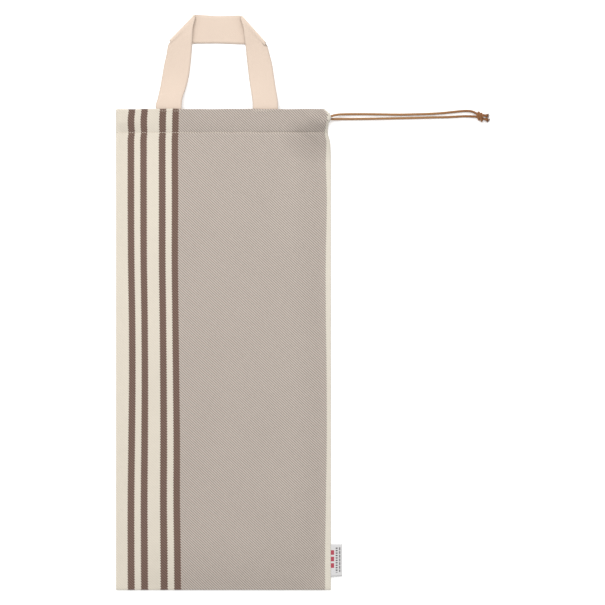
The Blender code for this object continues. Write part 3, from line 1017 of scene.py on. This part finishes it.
# Each row: x and y at the inner edge of the webbing, x and y at its outer edge, and its height, in mm.
LEFT_STRAP = (
    (-6, 465.3, -6, 427.1, 0.75), (-24, 466.4, -28, 427, 0.75), (-36.2, 467.1, -51.2, 427.4, 0.75),
    (-38.3, 467.2, -64, 428.8, 0.75),
)
LEFT_FOLD = ((-41.0, 467.5), (-75.8, 431.4))
LEFT_LEG = (
    (-42.3, 450, -77.2, 425, 2.60), (-43.6, 427.5, -79.4, 412, 2.75), (-45.2, 406, -82.4, 399, 3.2),
    (-48, 383, -85.8, 379, 4.6), (-52, 366, -89, 361.5, 7.2), (-57, 351, -92.2, 348, 10.6),
    (-58.3, 340, -94.4, 339, 12.4),
)
LEFT_END = (-58.3, -93.2)
RIGHT_STRAP = (
    (9, 465.8, 12, 426.4, 0.75), (20.6, 466.2, 34.6, 426.1, 0.75), (22.6, 466.1, 48.5, 427, 0.75),
)
RIGHT_FOLD = ((25.8, 466.2), (59.7, 428.5))
RIGHT_LEG = (
    (27.6, 449, 61.6, 422, 2.60), (30.4, 426.5, 64.4, 412, 2.75), (32.6, 406, 67.6, 399.5, 3.2),
    (35.2, 383, 70.8, 378.5, 4.6), (37.6, 366, 73.4, 361.5, 7.2), (40, 351, 75.6, 348, 10.6),
    (41, 340, 76.3, 339, 12.4),
)
RIGHT_END = (41.0, 76.3)


def across_lines(table):
    """Each table row as a pair of points, inner and outer."""
    rows = np.array(table) * MM
    return [np.array([[*row[0:2], row[4]], [*row[2:4], row[4]]]) for row in rows]


def turned_lines(fold):
    """The lines across the webbing as it turns over along a slanted fold."""
    inner, outer = (np.array((*point, 0.0)) * MM for point in fold)
    along = (outer - inner) / np.linalg.norm(outer - inner)
    outward = np.cross(along, (0.0, 0.0, 1.0))
    outward *= math.copysign(1.0, outward[1])
    centre = np.array((0.0, 0.0, WEBBING / 2 + FOLD_RADIUS)) - outward * (FOLD_RADIUS + WEBBING / 2)
    upward = np.array((0.0, 0.0, 1.0))
    lines = []
    for bend in np.radians(range(-90, 91, 30)):
        shift = centre + FOLD_RADIUS * (outward * math.cos(bend) + upward * math.sin(bend))
        lines.append(np.array([inner + shift, outer + shift]))
    return lines


def end_lines(ends):
    """The end of the webbing inside the mouth, against the turned hem."""
    lines = []
    for along in (334.0, 329.5, 325.0, 321.0, 317.5, 313.5, 309.0):
        section = section_at(along * MM)
        heights = [front_rise(section, x * MM) - section.hem_inset - GAP - WEBBING / 2 for x in ends]
        lines.append(np.array([[x * MM, along * MM, height] for x, height in zip(ends, heights)]))
    return lines


def strap_half(strap, fold, leg, ends):
    return across_lines(strap) + turned_lines(fold) + across_lines(leg) + end_lines(ends)


left_half = strap_half(LEFT_STRAP, LEFT_FOLD, LEFT_LEG, LEFT_END)
right_half = strap_half(RIGHT_STRAP, RIGHT_FOLD, RIGHT_LEG, RIGHT_END)
strap_lines = np.array(left_half[::-1] + right_half)
print(f"{len(strap_lines)} lines across the webbing")

# %% [markdown]
# The sheet is a little uneven, as soft webbing is: it cups slightly across its width, lifts in long
# shallow waves and curls up beside its folds.

# %% The webbing
STRAP_STEP = 2.6 * MM
COLUMNS_ACROSS = 12
CUP = 0.25 * MM
WAVE = 0.3 * MM
CURL = 3.4 * MM
CURL_AT, CURL_REACH = 446.0 * MM, 20.0 * MM
FREE_FROM, FREE_OVER = 345.0 * MM, 30.0 * MM
UPPER_LAYER = 2.4 * MM


def make_handle():
    centres = strap_lines.mean(axis=1)
    along = lengths_along(centres)
    stations = []
    for start, stop in zip(along, along[1:]):
        stations += stretch_of_rows(start, stop, STRAP_STEP)
    stations = np.array(stations + [along[-1]])
    lines = smooth_through(along, strap_lines.reshape(len(along), 6), stations).reshape(-1, 2, 3)
    across = np.linspace(0, 1, COLUMNS_ACROSS + 1)[None, :]
    share = across[:, :, None]
    places = lines[:, :1] * (1 - share) + lines[:, 1:] * share
    free = smooth_step((places[:, :, 1] - FREE_FROM) / FREE_OVER)
    lying = smooth_step((np.abs(places[:, :, 0] + 8 * MM) - 30 * MM) / (20 * MM))
    cup = CUP * (1 - (2 * across - 1) ** 2) * (0.6 + 0.4 * np.sin(stations * 41))[:, None]
    wave = WAVE * (1 + np.sin(stations * 75 + 0.5))[:, None] * (0.4 + 0.6 * across)
    curl = CURL * (1 - across) ** 2 * np.exp(-(((places[:, :, 1] - CURL_AT) / CURL_REACH) ** 2))
    on_top = places[:, :, 2] > UPPER_LAYER
    places[:, :, 2] += free * (cup + wave * lying) + curl * on_top
    width = np.linalg.norm(strap_lines[0, 0] - strap_lines[0, 1])
    strap = laid_grid("handle_webbing", places, together(across * width, stations[:, None]))
    return thicken(strap, WEBBING), along[-1], width


handle_webbing, strap_length, strap_width = make_handle()
print(f"webbing {strap_width / MM:.0f} mm wide, {strap_length / MM:.0f} mm long")

# %% [markdown]
# ### Webbing finish
# Webbing is a firm plain weave. Its lengthwise cords lie close together, so it shows fine ribs along
# its length and small steps across.


# %% Webbing finish
RIB_ACROSS = 1.25 * MM
PICK_ALONG = 1.05 * MM
WEBBING_CREAM = (0.642, 0.530, 0.443)
WEBBING_SHADE = (0.522, 0.406, 0.320)


def webbing_finish():
    finish, tree = new_finish("cotton_webbing", roughness=0.88, sheen=0.1)
    across, along = cloth_marks(tree, RIB_ACROSS, PICK_ALONG)
    rib_on_top, height = weave(across, along, floats=1)
    # Painted shade: the colour goes to the shade colour where the yarn lies low.
    colour = mix_colour(calc("POWER", height, 0.6), WEBBING_SHADE, WEBBING_CREAM)
    colour = times(colour, spread_between(noise(on_piece(tree), 22.0, 3.0), 0.96, 1.04))
    colour = times(colour, spread_between(rib_on_top, 0.98, 1.02))
    return with_surface(finish, colour, height, 0.22 * MM)


dress(handle_webbing, webbing_finish(), "webbing", "handle")

# %% [markdown]
# ## The label
# The side label is a short satin tape, folded once and caught in the seam by both ends. A box would
# have hard corners, so a thin sheet goes out from the seam, round the fold and back.

# %% Label tape
LABEL_SHEET = 0.6 * MM
label_low, label_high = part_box("label")
LABEL_ROOT = 149.6 * MM
LABEL_TURN = 0.75 * MM
LABEL_STEPS_ALONG = 20
LABEL_SKEW = 0.96 * MM
LABEL_LIFT = 0.22 * MM


def label_profile():
    """x and z of the tape, from its lower end round its fold to its upper end."""
    turn_x = label_high.x - LABEL_SHEET / 2 - LABEL_TURN
    low = LABEL_SHEET / 2 + 0.1 * MM
    lead = np.linspace(LABEL_ROOT, turn_x, 9)
    rise = 0.5 * MM * (1 - smooth_step((lead - LABEL_ROOT) / (turn_x - LABEL_ROOT)))
    bend = np.radians(np.arange(-67.5, 68, 22.5))
    x = np.concatenate([lead, turn_x + LABEL_TURN * np.cos(bend), lead[::-1]])
    z = np.concatenate([low + rise, low + LABEL_TURN * (1 + np.sin(bend)), low + 2 * LABEL_TURN + rise[::-1]])
    return x, z


def make_label():
    x, z = label_profile()
    steps = np.linspace(0, 1, LABEL_STEPS_ALONG + 1)[:, None]
    out = (x - LABEL_ROOT)[None, :] / (label_high.x - LABEL_ROOT)
    y = label_high.y + (label_low.y - label_high.y) * steps
    y = y + LABEL_SKEW * (out - 0.5) * smooth_step(steps * 1.4 - 0.4)
    upper = (np.arange(len(x)) > len(x) / 2)[None, :]
    lift = LABEL_LIFT * np.sin(steps * 7 + 1.0) * out * upper
    along_tape = lengths_along(together(x, z))
    width = abs(label_high.y - label_low.y)
    marks = together(along_tape[::-1], width * steps)
    label = laid_grid("side_label", together(x, y, z + lift), marks)
    return thicken(label, LABEL_SHEET), along_tape[-1], width


side_label, tape_length, tape_width = make_label()
print(f"label tape {tape_width / MM:.0f} mm wide, {tape_length / MM:.0f} mm long before folding")

# %% [markdown]
# ### Satin with plain woven bars
# The tape is pale grey satin. It is left without words: plain red blocks and two rows of small dark
# ones are woven in where a maker's label would say something.

# %% Satin finish
LABEL_SATIN = (0.560, 0.552, 0.552)
LABEL_RED = (0.360, 0.050, 0.075)
LABEL_DARK = (0.060, 0.055, 0.058)
LABEL_GREY = (0.175, 0.165, 0.170)
SATIN_THREADS = 3.0
# Each row of blocks: from and to, counted from the seam; start, end and pitch, down the label, in mm;
# the share of the pitch that is coloured; the colour.
LABEL_BARS = (
    (0.2, 4.8, 8.4, 35.4, 9.0, 0.72, LABEL_RED),
    (7.0, 9.7, 4.8, 39.6, 3.4, 0.50, LABEL_DARK),
    (11.6, 13.6, 4.4, 39.0, 5.2, 0.80, LABEL_GREY),
)


def between(value, low, high):
    """1 where a value lies between two others, else 0."""
    return (value > low) * (value < high)


def satin_finish():
    finish, tree = new_finish("satin_tape", roughness=0.48, sheen=0.1)
    across, along = cloth_marks(tree, MM, MM)
    colour = LABEL_SATIN
    for low, high, start, end, pitch, share, ink in LABEL_BARS:
        block = calc("FRACT", (along - start) / pitch) < share
        inside = between(across, low, high) * between(along, start, end) * block
        colour = mix_colour(inside, colour, ink)
    _, height = weave(across * SATIN_THREADS, along * SATIN_THREADS, floats=4)
    # Painted shade: the satin is darker where its threads dip.
    colour = times(colour, spread_between(height, 0.90, 1.06))
    return with_surface(finish, colour, height, 0.06 * MM)


dress(side_label, satin_finish(), "label", "label")

# %% [markdown]
# ## Stitches
# Cream thread holds the casing down all round and ties the handle's ends to the top edge. Each stitch
# is a short stretched bead, half sunk in the cloth. There are hundreds, so each one has few faces.

# %% Stitches
THREAD = 0.62 * MM
STITCH = 2.5 * MM
TOP_STITCHES = 332.6 * MM
PROUD, TOP_PROUD = 0.1 * MM, 0.3 * MM
THREAD_SHADE = (0.60, 0.52, 0.42)
THREAD_CREAM = (0.76, 0.68, 0.58)
sewing = np.random.default_rng(5)


def stitch_row(bm, points):
    """A bead of thread at each point, lying along the row."""
    points = [Vector(point) for point in points]
    for before, point, after in zip([points[0]] + points, points, points[1:] + [points[-1]]):
        direction = (after - before).normalized()
        made = bmesh.ops.create_uvsphere(bm, u_segments=6, v_segments=5, radius=0.5)
        length = STITCH * sewing.uniform(0.86, 1.08)
        bmesh.ops.scale(bm, vec=(THREAD, THREAD, length), verts=made["verts"])
        shift = Vector((0, sewing.uniform(-0.12, 0.12) * MM, 0))
        lay_along(bm, made, direction, point + shift)


def front_top(x, along):
    """The height of the cloth's upper face at x."""
    section = section_at(along)
    rise = front_rise(section, np.array([x])) + relief(np.array([x]), along, section.right)
    return CLOTH + rise[0]


def make_stitches():
    bm, _ = new_mesh()
    section = section_at(STITCH_LINE)
    across = np.arange(LEFT_EDGE + 6 * MM, section.right - 4 * MM, STITCH_PITCH)
    stitch_row(bm, [(x, stitch_line(x), front_top(x, stitch_line(x)) + PROUD) for x in across])
    stitch_row(bm, [(x, stitch_line(x), THREAD / 2) for x in across])
    for ends in (LEFT_END, RIGHT_END):
        low, high = min(ends) * MM + 1.2 * MM, max(ends) * MM - 0.8 * MM
        across = np.arange(low, high, STITCH_PITCH)
        stitch_row(bm, [(x, TOP_STITCHES, front_top(x, TOP_STITCHES) + TOP_PROUD) for x in across])
    for face in bm.faces:
        face.smooth = True
    return finished_mesh("seam_stitches", bm)


seam_stitches = make_stitches()


def thread_finish():
    finish, tree = new_finish("cream_thread", roughness=0.7, sheen=0.1)
    fibres = noise(on_piece(tree), 1800.0, 2.0)
    colour = mix_colour(fibres, THREAD_SHADE, THREAD_CREAM)
    return with_surface(finish, colour, fibres, 0.05 * MM)


dress(seam_stitches, thread_finish(), "cloth")

# %% [markdown]
# ## Table
# The bag lies on a plain white table that runs out of sight. The table glows very faintly, as a lit
# backdrop does, so that it stays white to its far edge.

# %% Table
TABLE_SIDE = 12.0
TABLE_GLOW = 0.18
TABLE_DROP = 0.3 * MM
bm = bmesh.new()
bmesh.ops.create_grid(bm, x_segments=1, y_segments=1, size=TABLE_SIDE / 2)
bmesh.ops.translate(bm, vec=(0, 0, -TABLE_DROP), verts=bm.verts)
table_top = finished_mesh("table_top", bm)
table_white, table_tree = new_finish("table_white", roughness=0.9)
table_sockets = table_tree.nodes["Principled BSDF"].inputs
table_sockets["Base Color"].default_value = (0.93, 0.93, 0.93, 1)
table_sockets["Emission Color"].default_value = (1.0, 1.0, 1.0, 1)
table_sockets["Emission Strength"].default_value = TABLE_GLOW
table_top.data.materials.append(table_white)
table_top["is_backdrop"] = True
print(f"table {TABLE_SIDE} m square, {TABLE_DROP / MM:.1f} mm below the bag")

# %% [markdown]
# ## Light
# One wide softbox stands overhead, a little towards the mouth of the bag, and an even white sky fills
# the shadows, so that folds show only softly. The yarns are as fine as the grain that the denoiser
# takes for noise, and its prefilter would smooth them away, so that step is left out.

# %% Light
SKY = 0.85
SOFTBOX_POWER = 78.0
SOFTBOX_SIDE = 2.4
SOFTBOX_PLACE = Vector((-0.4, 1.9, 2.4))
SOFTBOX_AIM = Vector((0.1, 0.05, 0.0))
sky = bpy.data.worlds.new("sky")
sky.use_nodes = True
sky.node_tree.nodes["Background"].inputs["Color"].default_value = (1.0, 1.0, 1.0, 1)
sky.node_tree.nodes["Background"].inputs["Strength"].default_value = SKY
scene.world = sky

softbox_data = bpy.data.lights.new("softbox", "AREA")
softbox_data.shape = "RECTANGLE"
softbox_data.size = softbox_data.size_y = SOFTBOX_SIDE
softbox_data.energy = SOFTBOX_POWER
softbox = bpy.data.objects.new("softbox", softbox_data)
softbox.location = SOFTBOX_PLACE
softbox.rotation_euler = (SOFTBOX_AIM - SOFTBOX_PLACE).to_track_quat("-Z", "Y").to_euler()
scene.collection.objects.link(softbox)
scene.view_settings.view_transform = "Standard"
scene.cycles.denoising_prefilter = "NONE"
print(f"softbox {SOFTBOX_SIDE} m square, {SOFTBOX_PLACE.z:.1f} m up, {SOFTBOX_POWER} W")

# %% [markdown]
# ## Finished size
# The size of the finished bag is printed, as the size of the frame was, so the two can be compared.

# %% Sizes, and finish
finished_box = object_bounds()
print("visual box, mm:", [in_mm(corner) for corner in finished_box])
